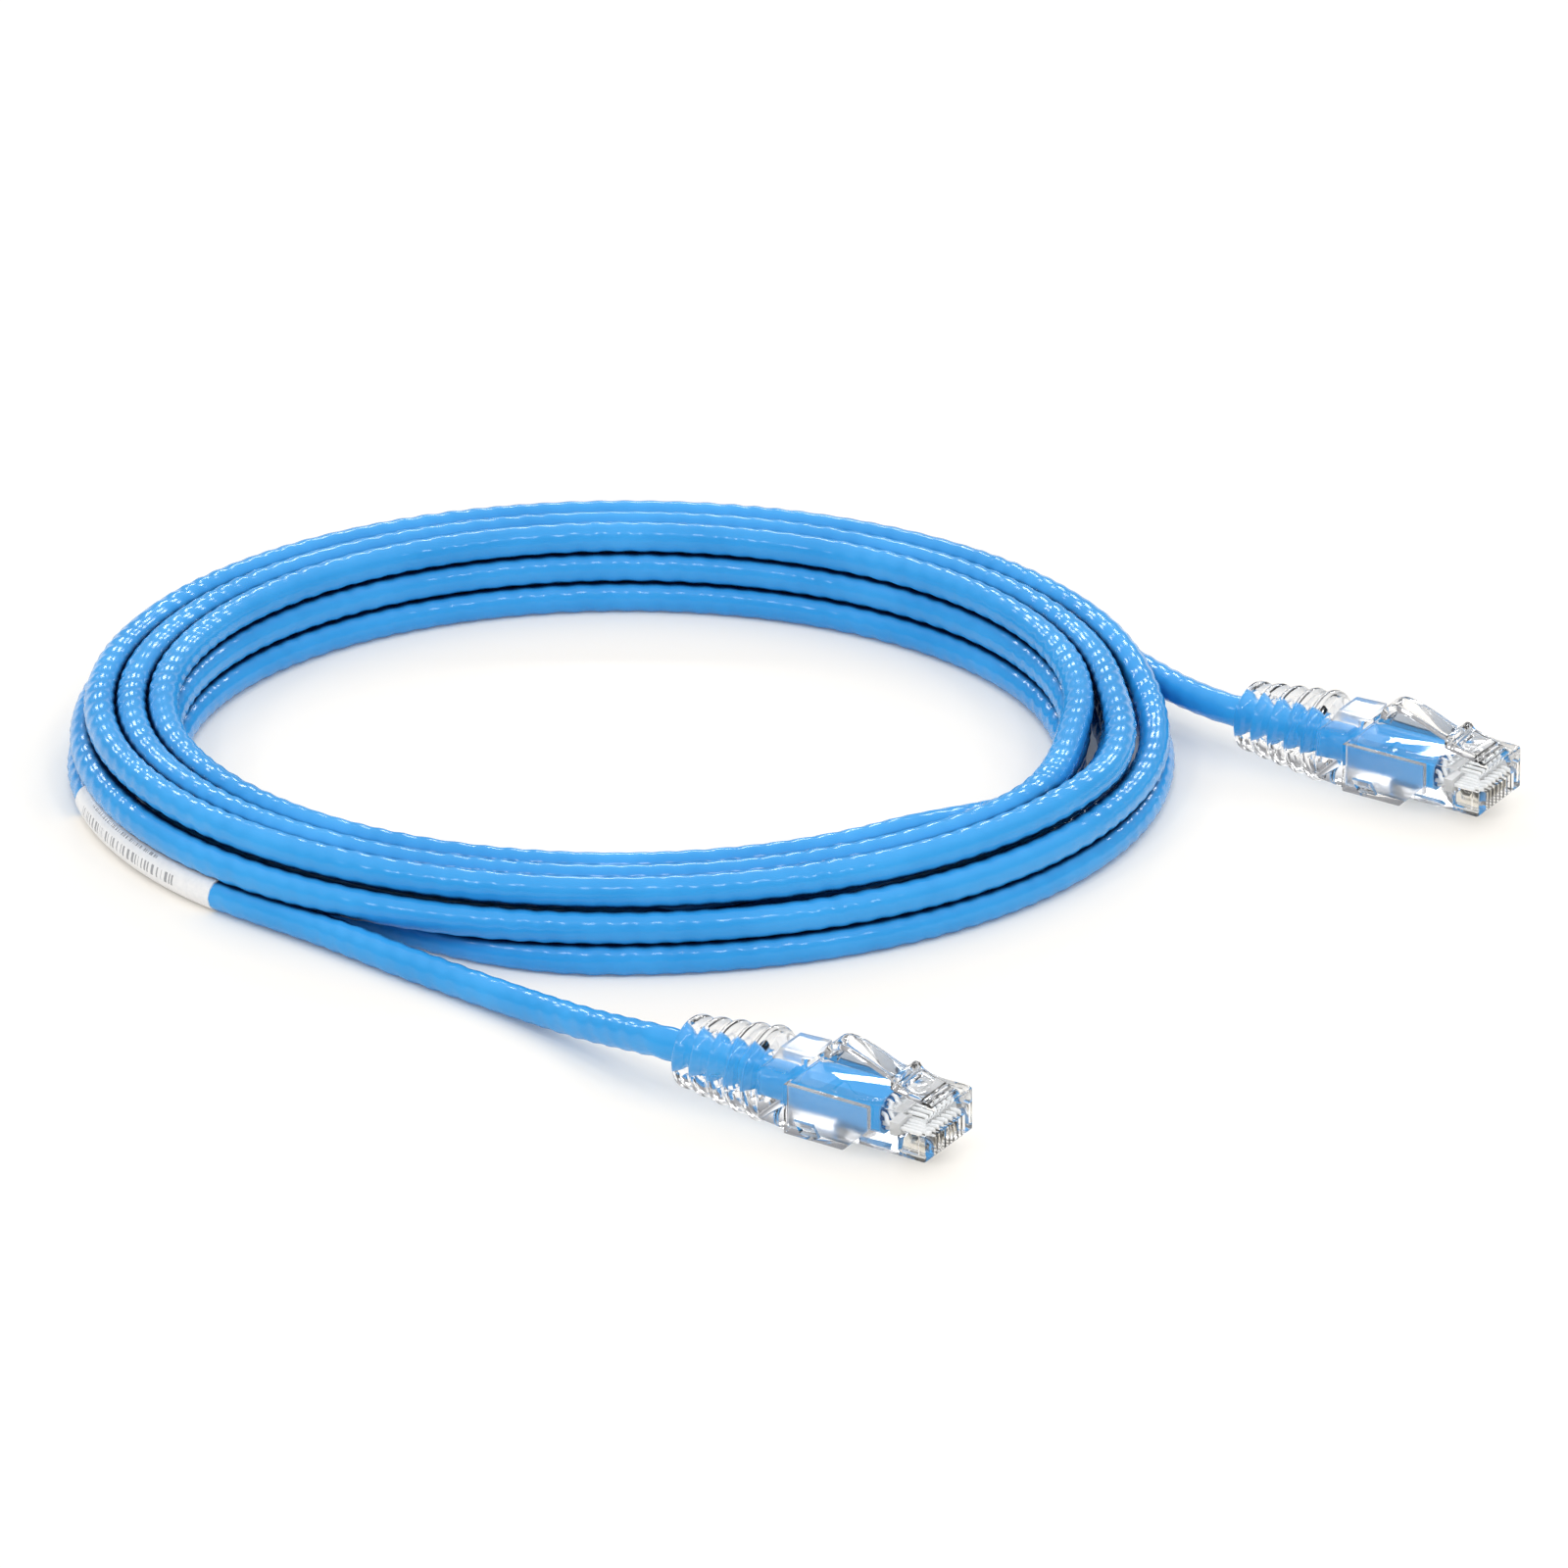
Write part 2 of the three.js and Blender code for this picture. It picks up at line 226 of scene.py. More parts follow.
def curve_through(points, step):
    """Centripetal Catmull-Rom through the points, resampled at an even step."""
    p = np.array([tuple(q) for q in points], float)
    p = np.vstack([2 * p[0] - p[1], p, 2 * p[-1] - p[-2]])
    dense = []
    for i in range(1, len(p) - 2):
        p0, p1, p2, p3 = p[i - 1 : i + 3]
        t0 = 0.0
        t1 = t0 + math.sqrt(np.linalg.norm(p1 - p0))
        t2 = t1 + math.sqrt(np.linalg.norm(p2 - p1))
        t3 = t2 + math.sqrt(np.linalg.norm(p3 - p2))
        count = max(2, int(np.linalg.norm(p2 - p1) / step * 2))
        t = np.linspace(t1, t2, count, endpoint=False)[:, None]
        a1 = (t1 - t) / (t1 - t0) * p0 + (t - t0) / (t1 - t0) * p1
        a2 = (t2 - t) / (t2 - t1) * p1 + (t - t1) / (t2 - t1) * p2
        a3 = (t3 - t) / (t3 - t2) * p2 + (t - t2) / (t3 - t2) * p3
        b1 = (t2 - t) / (t2 - t0) * a1 + (t - t0) / (t2 - t0) * a2
        b2 = (t3 - t) / (t3 - t1) * a2 + (t - t1) / (t3 - t1) * a3
        dense.append((t2 - t) / (t2 - t1) * b1 + (t - t1) / (t2 - t1) * b2)
    dense.append(p[-2][None, :])
    line = np.vstack(dense)
    along = np.concatenate([[0], np.cumsum(np.linalg.norm(np.diff(line, axis=0), axis=1))])
    stations = np.linspace(0, along[-1], max(2, int(round(along[-1] / step)) + 1))
    return np.column_stack([np.interp(stations, along, line[:, k]) for k in range(3)]), stations


def carried_frames(line):
    """Two unit normals at each point of a line, carried along it without twist."""
    tangents = np.gradient(line, axis=0)
    tangents /= np.linalg.norm(tangents, axis=1)[:, None]
    normal = np.cross(tangents[0], (0.0, 0.0, 1.0))
    normal /= np.linalg.norm(normal)
    normals = np.empty_like(line)
    for i, t in enumerate(tangents):
        normal = normal - t * np.dot(normal, t)
        normal /= np.linalg.norm(normal)
        normals[i] = normal
    return normals, np.cross(tangents, normals)


def swept(name, line, stations, radius, sides, hollow=0):
    """A closed tube along a line. radius(stations, angles) gives each point's distance from the line.
    Where hollow is over 0, each end is open that many rings deep and shows the tube's wall."""
    normals, binormals = carried_frames(line)
    last = len(line) - 1
    order = [hollow, 0] * bool(hollow) + list(range(last + 1)) + [last, last - hollow] * bool(hollow)
    inner = [WALL_INSIDE] * 2 * bool(hollow)
    scale = np.array(inner + [1.0] * (last + 1) + inner)[:, None]
    line, stations, normals, binormals = line[order], stations[order], normals[order], binormals[order]
    angles = 2 * math.pi * np.arange(sides) / sides
    r = radius(stations[:, None], angles[None, :]) * scale
    out = (
        line[:, None, :]
        + normals[:, None, :] * (r * np.cos(angles))[:, :, None]
        + binormals[:, None, :] * (r * np.sin(angles))[:, :, None]
    )
    rings = len(line)
    i, j = np.meshgrid(np.arange(rings - 1), np.arange(sides), indexing="ij")
    k = (j + 1) % sides
    quads = np.stack([i * sides + j, (i + 1) * sides + j, (i + 1) * sides + k, i * sides + k], axis=-1)
    faces = quads.reshape(-1, 4).tolist()
    faces.append(list(range(sides)))
    faces.append(list(reversed(range((rings - 1) * sides, rings * sides))))
    mesh = bpy.data.meshes.new(name)
    mesh.from_pydata(out.reshape(-1, 3).tolist(), [], faces)
    u = np.repeat(stations, sides)
    v = np.tile(angles / (2 * math.pi), rings)
    layer = mesh.uv_layers.new(name="along")
    corners = np.empty(len(mesh.loops), dtype=np.int32)
    mesh.loops.foreach_get("vertex_index", corners)
    uv = np.column_stack([u[corners], v[corners]])
    side_corners = (rings - 1) * sides * 4
    around = uv[:side_corners].reshape(-1, 4, 2)
    wraps = np.ptp(around[:, :, 1], axis=1) > 0.5
    around[wraps, :, 1] = np.where(around[wraps, :, 1] < 0.5, around[wraps, :, 1] + 1, around[wraps, :, 1])
    uv[:side_corners] = around.reshape(-1, 2)
    layer.data.foreach_set("uv", uv.astype(np.float32).ravel())
    return new_object(name, mesh)


# ---- Materials ----
def material(name, **sockets):
    mat = bpy.data.materials.new(name)
    mat.use_nodes = True
    shader = mat.node_tree.nodes["Principled BSDF"]
    for socket, value in sockets.items():
        shader.inputs[socket.replace("_", " ")].default_value = value
    return mat, mat.node_tree, shader


def srgb(r, g, b):
    """A colour given in 0 to 255 steps, as the shader's linear values."""

    def linear(c):
        c /= 255
        return c / 12.92 if c <= 0.04045 else ((c + 0.055) / 1.055) ** 2.4

    return (linear(r), linear(g), linear(b), 1)


def add_bump(tree, shader, height, strength, distance):
    bump = tree.nodes.new("ShaderNodeBump")
    bump.inputs["Strength"].default_value = strength
    bump.inputs["Distance"].default_value = distance
    tree.links.new(height, bump.inputs["Height"])
    tree.links.new(bump.outputs["Normal"], shader.inputs["Normal"])


def noise(tree, scale, detail=2):
    """Noise fixed to the object, with about scale grains a metre."""
    node = tree.nodes.new("ShaderNodeTexNoise")
    node.inputs["Scale"].default_value = scale
    node.inputs["Detail"].default_value = detail
    tree.links.new(tree.nodes.new("ShaderNodeTexCoord").outputs["Object"], node.inputs["Vector"])
    return node.outputs["Fac"]


def ramp(tree, value, stops):
    node = tree.nodes.new("ShaderNodeValToRGB")
    tree.links.new(value, node.inputs["Fac"])
    elements = node.color_ramp.elements
    while len(elements) < len(stops):
        elements.new(0.5)
    for element, (position, colour) in zip(elements, stops):
        element.position = position
        element.color = colour
    return node.outputs["Color"]


# Painted shade: the jacket's colour goes over to a dark navy where its own turns lie close, in place of the
# shade in the gaps between them.
PAINTED_SHADE_COLOUR = (0.0007, 0.015, 0.08, 1)
PAINTED_SHADE_REACH = 2.2 * MM
SHUT_IN, OPEN = 0.34, 0.7  # how free a point's surroundings are where the painted shade is darkest, and where there is none


def with_painted_gap_shade(tree, colour):
    """The colour, going over to a dark painted shade where another part of the same piece lies close by:
    painted shade in the gaps between touching turns.
    """
    near = tree.nodes.new("ShaderNodeAmbientOcclusion")
    near.samples = 10
    near.only_local = True
    near.inputs["Distance"].default_value = PAINTED_SHADE_REACH
    mix = tree.nodes.new("ShaderNodeMix")
    mix.data_type = "RGBA"
    share = tree.nodes.new("ShaderNodeMapRange")
    share.interpolation_type = "SMOOTHSTEP"
    share.inputs["From Min"].default_value = SHUT_IN
    share.inputs["From Max"].default_value = OPEN
    tree.links.new(near.outputs["AO"], share.inputs["Value"])
    tree.links.new(share.outputs["Result"], mix.inputs[0])
    mix.inputs[6].default_value = PAINTED_SHADE_COLOUR
    tree.links.new(colour, mix.inputs[7])
    return mix.outputs[2]


def jacket_material():
    mat, tree, shader = material("jacket", Roughness=0.17, IOR=1.5, Specular_IOR_Level=0.35)
    tint = ramp(tree, noise(tree, 60, 4), [(0.3, srgb(44, 152, 224)), (0.7, srgb(63, 169, 240))])
    # The base colour carries painted shade where the coil's turns touch; the tint ramp itself is the
    # jacket's own uneven tone.
    tree.links.new(with_painted_gap_shade(tree, tint), shader.inputs["Base Color"])
    add_bump(tree, shader, noise(tree, 420), 0.16, 0.00008)
    return mat


CLEAR_IOR = 1.42
LET_THROUGH = (0.975, 0.978, 0.98, 1)


def clear_material(name, colour, roughness, grain_scale, grain):
    """Clear plastic that lets lamplight and floor light through to what it holds."""
    mat, tree, shader = material(name, Roughness=roughness, IOR=CLEAR_IOR, Transmission_Weight=1.0)
    shader.inputs["Base Color"].default_value = colour
    add_bump(tree, shader, noise(tree, grain_scale), grain, 0.0002)
    through = tree.nodes.new("ShaderNodeBsdfTransparent")
    through.inputs["Color"].default_value = LET_THROUGH
    path = tree.nodes.new("ShaderNodeLightPath")
    either = tree.nodes.new("ShaderNodeMath")
    either.operation = "MAXIMUM"
    mix = tree.nodes.new("ShaderNodeMixShader")
    tree.links.new(path.outputs["Is Shadow Ray"], either.inputs[0])
    tree.links.new(path.outputs["Is Diffuse Ray"], either.inputs[1])
    tree.links.new(either.outputs[0], mix.inputs[0])
    tree.links.new(shader.outputs[0], mix.inputs[1])
    tree.links.new(through.outputs[0], mix.inputs[2])
    tree.links.new(mix.outputs[0], tree.nodes["Material Output"].inputs["Surface"])
    return mat


def insulation_material():
    mat, tree, shader = material("insulation", Roughness=0.3)
    tint = ramp(tree, noise(tree, 900), [(0.3, (0.8, 0.82, 0.83, 1)), (0.7, (0.9, 0.91, 0.91, 1))])
    tree.links.new(tint, shader.inputs["Base Color"])
    return mat


def plating_material():
    mat, tree, shader = material("contact_plating", Metallic=1.0, Roughness=0.25)
    tint = ramp(tree, noise(tree, 1500), [(0.3, (0.84, 0.8, 0.7, 1)), (0.7, (0.93, 0.9, 0.84, 1))])
    tree.links.new(tint, shader.inputs["Base Color"])
    return mat


def bar_material():
    mat, tree, shader = material("bar_plastic", Roughness=0.35, Transmission_Weight=0.5)
    tint = ramp(tree, noise(tree, 700), [(0.3, (0.85, 0.86, 0.86, 1)), (0.7, (0.93, 0.93, 0.93, 1))])
    tree.links.new(tint, shader.inputs["Base Color"])
    return mat


def band(tree, value, low, high):
    """1 where the value lies between the two limits, else 0."""
    node = tree.nodes.new("ShaderNodeMath")
    node.operation = "COMPARE"
    tree.links.new(value, node.inputs[0])
    node.inputs[1].default_value = (low + high) / 2
    node.inputs[2].default_value = (high - low) / 2
    return node.outputs[0]


def combined(tree, operation, *values):
    """The values, sockets or floats, joined one after another by a math node's operation."""
    total = values[0]
    for value in values[1:]:
        node = tree.nodes.new("ShaderNodeMath")
        node.operation = operation
        for socket, part in zip(node.inputs, (total, value)):
            if isinstance(part, float):
                socket.default_value = part
            else:
                tree.links.new(part, socket)
        total = node.outputs[0]
    return total


def strokes(tree, along, per_metre, share):
    """Dark strokes at uneven distances along the label; share is how much of it they cover."""
    node = tree.nodes.new("ShaderNodeTexNoise")
    node.noise_dimensions = "1D"
    node.inputs["Scale"].default_value = per_metre
    node.inputs["Detail"].default_value = 1
    tree.links.new(along, node.inputs["W"])
    return combined(tree, "LESS_THAN", node.outputs["Fac"], share)


# Both rows on the label: how many strokes a metre and how much they cover, then where the row lies round
# the cord, as a share of a turn, and along it, in metres.
BARS = (1500, 0.47, (0.43, 0.53), (0.004, 0.034))
MARKS = (2600, 0.5, (0.33, 0.365), (0.007, 0.029))
INK = (0.33, 0.34, 0.36, 1)


def stroke_row(tree, along, side, row):
    per_metre, share, round_cord, along_cord = row
    drawn = strokes(tree, along, per_metre, share)
    return combined(tree, "MULTIPLY", drawn, band(tree, side, *round_cord), band(tree, along, *along_cord))


def label_material():
    """White film with a row of plain bars and a row of short marks, neither of which spells anything."""
    mat, tree, shader = material("label_film", Roughness=0.3)
    coordinates = tree.nodes.new("ShaderNodeUVMap")
    coordinates.uv_map = "along"
    split = tree.nodes.new("ShaderNodeSeparateXYZ")
    tree.links.new(coordinates.outputs[0], split.inputs[0])
    along, around = split.outputs[0], split.outputs[1]
    side = combined(tree, "FRACT", combined(tree, "ADD", around, 0.5), 0.0)
    ink = combined(tree, "MAXIMUM", *(stroke_row(tree, along, side, row) for row in (BARS, MARKS)))
    film = ramp(tree, noise(tree, 1200), [(0.3, (0.86, 0.87, 0.88, 1)), (0.7, (0.93, 0.93, 0.93, 1))])
    mix = tree.nodes.new("ShaderNodeMix")
    mix.data_type = "RGBA"
    tree.links.new(ink, mix.inputs[0])
    tree.links.new(film, mix.inputs[6])
    mix.inputs[7].default_value = INK
    tree.links.new(mix.outputs[2], shader.inputs["Base Color"])
    return mat


BOOT_TINT = (0.988, 0.99, 0.993, 1)

JACKET = jacket_material()
CLEAR = clear_material("clear_plastic", (0.99, 0.992, 0.995, 1), 0.03, 250, 0.02)
BOOT = clear_material("clear_boot", BOOT_TINT, 0.05, 400, 0.03)
MATT = clear_material("clear_boot_matt", BOOT_TINT, 0.4, 400, 0.1)
INSULATION = insulation_material()
PLATING = plating_material()
BAR = bar_material()
LABEL = label_material()


# ---- The cord's route ----
def place_in(column, row):
    """Radius and height of a place in the stack; column 0 is the outside, 2 the inside."""
    outer = TOP_RADIUS + OUTWARD[row]
    inner = TOP_RADIUS - (COLUMNS - 1) * JACKET_D - INWARD[row]
    return np.array([outer + (inner - outer) * column / (COLUMNS - 1), JACKET_R + row * ROW_PITCH])


# The places that the cord takes in turn, and between which degrees of the turn it steps to each next one.
PLACES = ((0, 1), (0, 2), (1, 2), (2, 2), (2, 1), (2, 0), (1, 1), (1, 0), (0, 0))
STEPS = ((350, 383), (334, 366), (320, 352), (306, 336), (292, 320), (277, 305), (262, 290), (236, 268))
COIL_START, COIL_END = 32, 3108  # degrees, counted on through every turn
TURN_STEP = 6
LABEL_LIFT = 0.12  # how much higher the cord lies where the label is wrapped round it
LIFT_FROM, LIFT_TO = COIL_END - 60, COIL_END - 40


def smooth(value, start, end):
    """0 up to start, 1 from end on, and an even swing between."""
    t = min(1, max(0, (value - start) / (end - start)))
    return t * t * (3 - 2 * t)


def coil_points():
    points = []
    degrees = COIL_START
    while degrees <= COIL_END:
        radius, height = place_in(*PLACES[0])
        for k, (start, end) in enumerate(STEPS):
            share = smooth(degrees, start + 360 * k, end + 360 * k)
            radius, height = (radius, height) + share * (place_in(*PLACES[k + 1]) - place_in(*PLACES[k]))
        height += LABEL_LIFT * smooth(degrees, LIFT_FROM, LIFT_TO)
        a = math.radians(degrees)
        points.append((radius * math.cos(a), radius * math.sin(a), height))
        degrees += TURN_STEP
    return points


def in_plug(letter, distances):
    """Points on the cord's axis in a plug, as millimetres from the coil's centre."""
    return [(PLUGS[letter] @ Vector((d, 0, AXIS_Z)) - COIL) / MM for d in distances]


# From the coil to each plug, the cord's axis runs through these points and then straight into the boot.
ON_FLOOR = JACKET_R + 0.05
LEAD_A = (
    (-40, -67.7, 2.5),
    (-29, -78.3, ON_FLOOR),
    (-17.5, -89.4, ON_FLOOR + 0.2),
    (-9.3, -98.2, 3.2),
    (-3.2, -105.8, 4.4),
    (2.2, -113, 6),
)
LEAD_B = ((71.3, 29.3, 6.7), (76.1, 20.8, 6.8), (80.8, 13, 7))
BEHIND_BOOT_A, BEHIND_BOOT_B = BOOT_REAR + 3.5, BOOT_REAR + 3

IN_PLUG = (JACKET_FRONT - 0.4, 13, 17.5, BODY_LENGTH, 26, 31, 37, BOOT_REAR)
route = in_plug("a", (*IN_PLUG, BEHIND_BOOT_A))
route += list(reversed(LEAD_A)) + list(reversed(coil_points())) + list(LEAD_B)
route += reversed(in_plug("b", (*IN_PLUG, BEHIND_BOOT_B)))

RING_STEP = 0.5
JACKET_SIDES = 12
OPEN_RINGS = 3
line, stations = curve_through(route, RING_STEP)
line = line * MM + np.array(COIL)

RIPPLE_LAY = 3.8  # along the cord, from one ridge to the next
RIPPLE = 0.06


def jacket_radius(s, angle):
    """The pairs inside the jacket show through as two shallow, uneven ridges that wind round it."""
    turn = 2 * math.pi * s
    swell = 1 + 0.5 * np.sin(turn / 97) * np.sin(turn / 31)
    drift = 0.9 * np.sin(turn / 43) + 0.5 * np.sin(turn / 19)
    return (JACKET_R + RIPPLE * swell * np.cos(2 * angle - turn / RIPPLE_LAY + drift)) * MM


PRESSED_WIDTH, PRESSED_HEIGHT = 6.3, 4.6
PRESSED_TO, ROUND_FROM = 20, 25
SQUARENESS = 3  # 2 would be an ellipse


def press_in_plug(obj):
    """Inside each housing the crimp bar has pressed the jacket into a flatter section with round corners."""
    for inside in PLUGS.values():
        back = inside.inverted()
        for v in obj.data.vertices:
            at = back @ v.co
            y, z = at.y, at.z - AXIS_Z
            distance = math.hypot(y, z)
            if not 0 < at.x < ROUND_FROM or distance > JACKET_D:
                continue  # another stretch of the cord
            share = 1 - smooth(at.x, PRESSED_TO, ROUND_FROM)
            sideways, upwards = abs(y) * 2 / PRESSED_WIDTH, abs(z) * 2 / PRESSED_HEIGHT
            reach = (sideways**SQUARENESS + upwards**SQUARENESS) ** (1 / SQUARENESS)
            wall = 1 if distance > JACKET_R * (1 + WALL_INSIDE) / 2 else WALL_INSIDE
            y += share * (y / reach * wall - y)
            z += share * (z / reach * wall - z)
            v.co = inside @ Vector((at.x, y, z + AXIS_Z))


jacket = swept("jacket", line, stations, jacket_radius, JACKET_SIDES, OPEN_RINGS)
press_in_plug(jacket)
shade_smooth(jacket, 50)
jacket.data.materials.append(JACKET)
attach(jacket, "cord")
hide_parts("coil", "lead_a", "lead_b", "jacket_end_a", "jacket_end_b")


# ---- Label ----
LABEL_CLEARANCE = RIPPLE + 0.05
LAP, LAP_WIDTH = 0.06, 0.4  # the film's end lies on its start: how thick it is, and how wide in radians
LABEL_SIDES = 40


def label_radius(s, angle):
    lap = LAP * (1 - np.clip((angle - LAP_WIDTH) / (2 * math.pi - LAP_WIDTH), 0, 1))
    return (JACKET_R + LABEL_CLEARANCE + np.broadcast_to(lap, (len(s), angle.size))) * MM


def make_label():
    radius, height = place_in(0, 0)
    points = []
    for degrees in np.linspace(LABEL_FROM, LABEL_TO, 13):
        a = math.radians(degrees)
        points.append((radius * math.cos(a), radius * math.sin(a), height + LABEL_LIFT))
    label_line, label_stations = curve_through(points, 0.8)
    placed = label_line * MM + np.array(COIL)
    return swept("label_wrap", placed, label_stations * MM, label_radius, LABEL_SIDES)


label = make_label()
label.data.materials.append(LABEL)
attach(label, "cord")
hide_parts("label")


# ---- Plugs: outlines are x and z in the plug's own frame ----
def slot_y(i):
    return (i - (WAYS - 1) / 2) * PITCH


NOSE_CHAMFER = 0.3
BAY_FRONT, BAY_WIDTH, BAY_HEIGHT = 9.5, 4.8, 3.4  # tighter than the jacket, which fills it
SLOT_WIDTH, SLOT_LENGTH, SLOT_TOP = 0.6, 5, 3.2
PAST = 1  # how far a cutter runs out of the face that it cuts
LATCH_ROOT = [(0.3, 6.2), (1.6, 6.2), (1.6, 7.3), (0.8, 7.3), (0.3, 6.9)]
SIDE_POCKET = [(1.2, 0.9), (4.4, 0.9), (4.4, 3.1), (3.6, 3.9), (1.2, 3.9)]
POCKET_DEPTH = 0.4
CRIMP_OPENING = (11.5, 15.5, -2.7, 2.7, -PAST, 1)
MOULD_EDGE = 0.07


def make_housing():
    half, bay, slot = BODY_WIDTH / 2, BAY_WIDTH / 2, SLOT_WIDTH / 2
    outline = [
        (0, NOSE_CHAMFER),
        (NOSE_CHAMFER, 0),
        (BODY_LENGTH, 0),
        (BODY_LENGTH, BODY_HEIGHT),
        (NOSE_CHAMFER, BODY_HEIGHT),
        (0, BODY_HEIGHT - NOSE_CHAMFER),
    ]
    body = rounded(across(outline, half), 0.3, 3)
    root = rounded(across(LATCH_ROOT, LATCH_WIDTH / 2), 0.1)
    combine(body, [root], "UNION")
    cutters = [
        block(BAY_FRONT, BODY_LENGTH + PAST, -bay, bay, AXIS_Z - BAY_HEIGHT / 2, AXIS_Z + BAY_HEIGHT / 2),
        block(*CRIMP_OPENING),
    ]
    for i in range(WAYS):
        cutters.append(block(-PAST, SLOT_LENGTH, slot_y(i) - slot, slot_y(i) + slot, -PAST, SLOT_TOP))
    for side in (-1, 1):
        cutters.append(across(SIDE_POCKET, POCKET_DEPTH + PAST, side * (half + PAST)))
    combine(body, cutters, "DIFFERENCE")
    return rounded(body, MOULD_EDGE, 2)


LEVER_LINE = [(6.6, 8.45), (9, 9.15), (12, 10.35), (15, 11.25), (16.6, 11.35), (17.9, 10.6), (18.4, 9.1)]
LEVER_THICKNESS = 1
TONGUE_UNDER = [(1.65, 6.95), (2.6, 6.9), (7.4, 7.9)]
TONGUE_TOP = [(7.4, 9.7), (6.6, 9.7), (5.9, 8.9), (4.2, 8.4), (2.9, 8.2), (1.65, 7.6)]
TONGUE_RECESS = (3.4, 5.6, -2.1, 2.1, 8.15, 9.5)


def lever_outline():
    """The lever's middle line, thickened: it rises, crests and curls down into its tail."""
    middle_line, _ = curve_through([(x, 0, z) for x, z in LEVER_LINE], 0.45)
    flat = middle_line[:, (0, 2)]
    tangents = np.gradient(flat, axis=0)
    tangents /= np.linalg.norm(tangents, axis=1)[:, None]
    normals = np.column_stack([-tangents[:, 1], tangents[:, 0]]) * LEVER_THICKNESS / 2
    return [tuple(p) for p in np.vstack([flat + normals, (flat - normals)[::-1]])]


def make_latch():
    tongue = across(TONGUE_UNDER + TONGUE_TOP, LATCH_WIDTH / 2)
    rounded(tongue, 0.16, 3, 20)
    lever = rounded(across(lever_outline(), LEVER_WIDTH / 2), 0.22, 3, 40)
    combine(tongue, [lever], "UNION")
    combine(tongue, [block(*TONGUE_RECESS)], "DIFFERENCE")
    return rounded(tongue, 0.06, 2, 40)


SLEEVE_RADIUS = JACKET_R + 0.8
RIB_STEPS = 12
RIB_SQUARENESS = 0.45  # 1 would be a half ellipse; smaller gives steeper sides and a flatter crest


def rib_profile():
    """Rounded discs on one thin sleeve, each smaller than the one before it."""
    points = [(BLOCK_REAR - 2, 0), (BLOCK_REAR - 2, SLEEVE_RADIUS)]
    for i in range(RIBS):
        front = BLOCK_REAR + i * RIB_PITCH
        depth = RIB_RADIUS - RIB_TAPER * i - SLEEVE_RADIUS
        for k in range(RIB_STEPS + 1):
            a = math.pi * k / RIB_STEPS
            x = front + RIB_THICKNESS / 2 * (1 - math.cos(a))
            points.append((x, SLEEVE_RADIUS + depth * math.sin(a) ** RIB_SQUARENESS))
    points += [(BOOT_REAR - 0.3, JACKET_R + 1), (BOOT_REAR, JACKET_R + 0.7), (BOOT_REAR, 0)]
    return points


COLLAR = [(8.6, 6.4), (8.6, 3), (12.6, -1), (22, -1), (22, 6.4)]
COLLAR_WALL = 1
BLOCK = [(21.9, -1.6), (BLOCK_REAR, -1), (BLOCK_REAR, 6.6), (26, 7.4), (21.9, 7.4)]
HOOD = [(20.2, 8.6), (20.2, 9.5), (25.2, 9.3), (26.6, 7.2), (21.9, 7.2), (21.9, 8.4)]
HOOD_WIDTH = 5
HOOD_HOLLOW = (20, 25, -1.8, 1.8, 7, 8.7)
SIDE_WINDOW = [(16.4, -0.3), (19.4, -0.3), (20.4, 1.3), (17.4, 1.3)]
WINDOW_REACH = (0.1, 2)  # from how far out of the housing's side to how far, clear of the collar
BORE_RADIUS = JACKET_R - 0.3  # tighter than the jacket, which the boot is moulded round


def make_boot():
    half = BODY_WIDTH / 2
    collar = rounded(across(COLLAR, half + COLLAR_WALL), 0.12, 2)
    bay = block(8, BODY_LENGTH + COLLAR_GAP, -half - COLLAR_GAP, half + COLLAR_GAP, -COLLAR_GAP, 9)
    combine(collar, [bay], "DIFFERENCE")
    back = across(BLOCK, half - 0.4)
    hood = across(HOOD, HOOD_WIDTH / 2)
    combine(hood, [block(*HOOD_HOLLOW)], "DIFFERENCE")
    ribs = turned(rib_profile(), 64)
    combine(collar, [rounded(back, 0.7, 4), rounded(hood, 0.2, 3), ribs], "UNION")
    end = BOOT_REAR + PAST
    cutters = [turned([(20, 0), (20, BORE_RADIUS), (end, BORE_RADIUS), (end, 0)], 32)]
    start, stop = WINDOW_REACH
    for side in (-1, 1):
        cutters.append(across(SIDE_WINDOW, (stop - start) / 2, side * (half + (start + stop) / 2)))
    combine(collar, cutters, "DIFFERENCE")
    return rounded(collar, MOULD_EDGE, 2, 40)


WEB_TOP = [(0.9, 7), (1.3, 7.25), (1.7, 7.3), (2.1, 7.35), (2.6, 7.6)]
WEB_UNDER = [(2.6, 7.1), (2.1, 6.95), (1.7, 6.88), (1.3, 6.8), (0.9, 6.75)]


def make_hinge():
    """The thin web that the latch bends on."""
    return across(WEB_TOP + WEB_UNDER, LATCH_WIDTH / 2 - 0.2)


def place(obj, name, letter, mat, slot, body, *nodes):
    obj.name = name
    obj.data.name = name
    obj.data.transform(PLUGS[letter])
    obj.data.materials.clear()
    obj.data.materials.append(mat)
    shade_smooth(obj)
    if body:
        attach(obj, body)
    if nodes:
        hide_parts(*nodes)
    return obj


HOOD_FRONT, HOOD_FOOT = 19, 7.25
CLOSE = 0.02


def matt_faces(boot, letter):
    """The hood and the collar's inner walls come off the mould matt; the rest of the boot is polished."""
    wall = BODY_WIDTH / 2 + COLLAR_GAP
    boot.data.materials.append(MATT)
    back = PLUGS[letter].inverted()
    for face in boot.data.polygons:
        at = back @ face.center
        on_hood = HOOD_FRONT < at.x < BLOCK_REAR and at.z > HOOD_FOOT
        on_wall = at.x < BODY_LENGTH and abs(abs(at.y) - wall) < CLOSE
        if on_hood or on_wall:
            face.material_index = 1


CONTACT_EDGE, BAR_EDGE = 0.05, 0.08


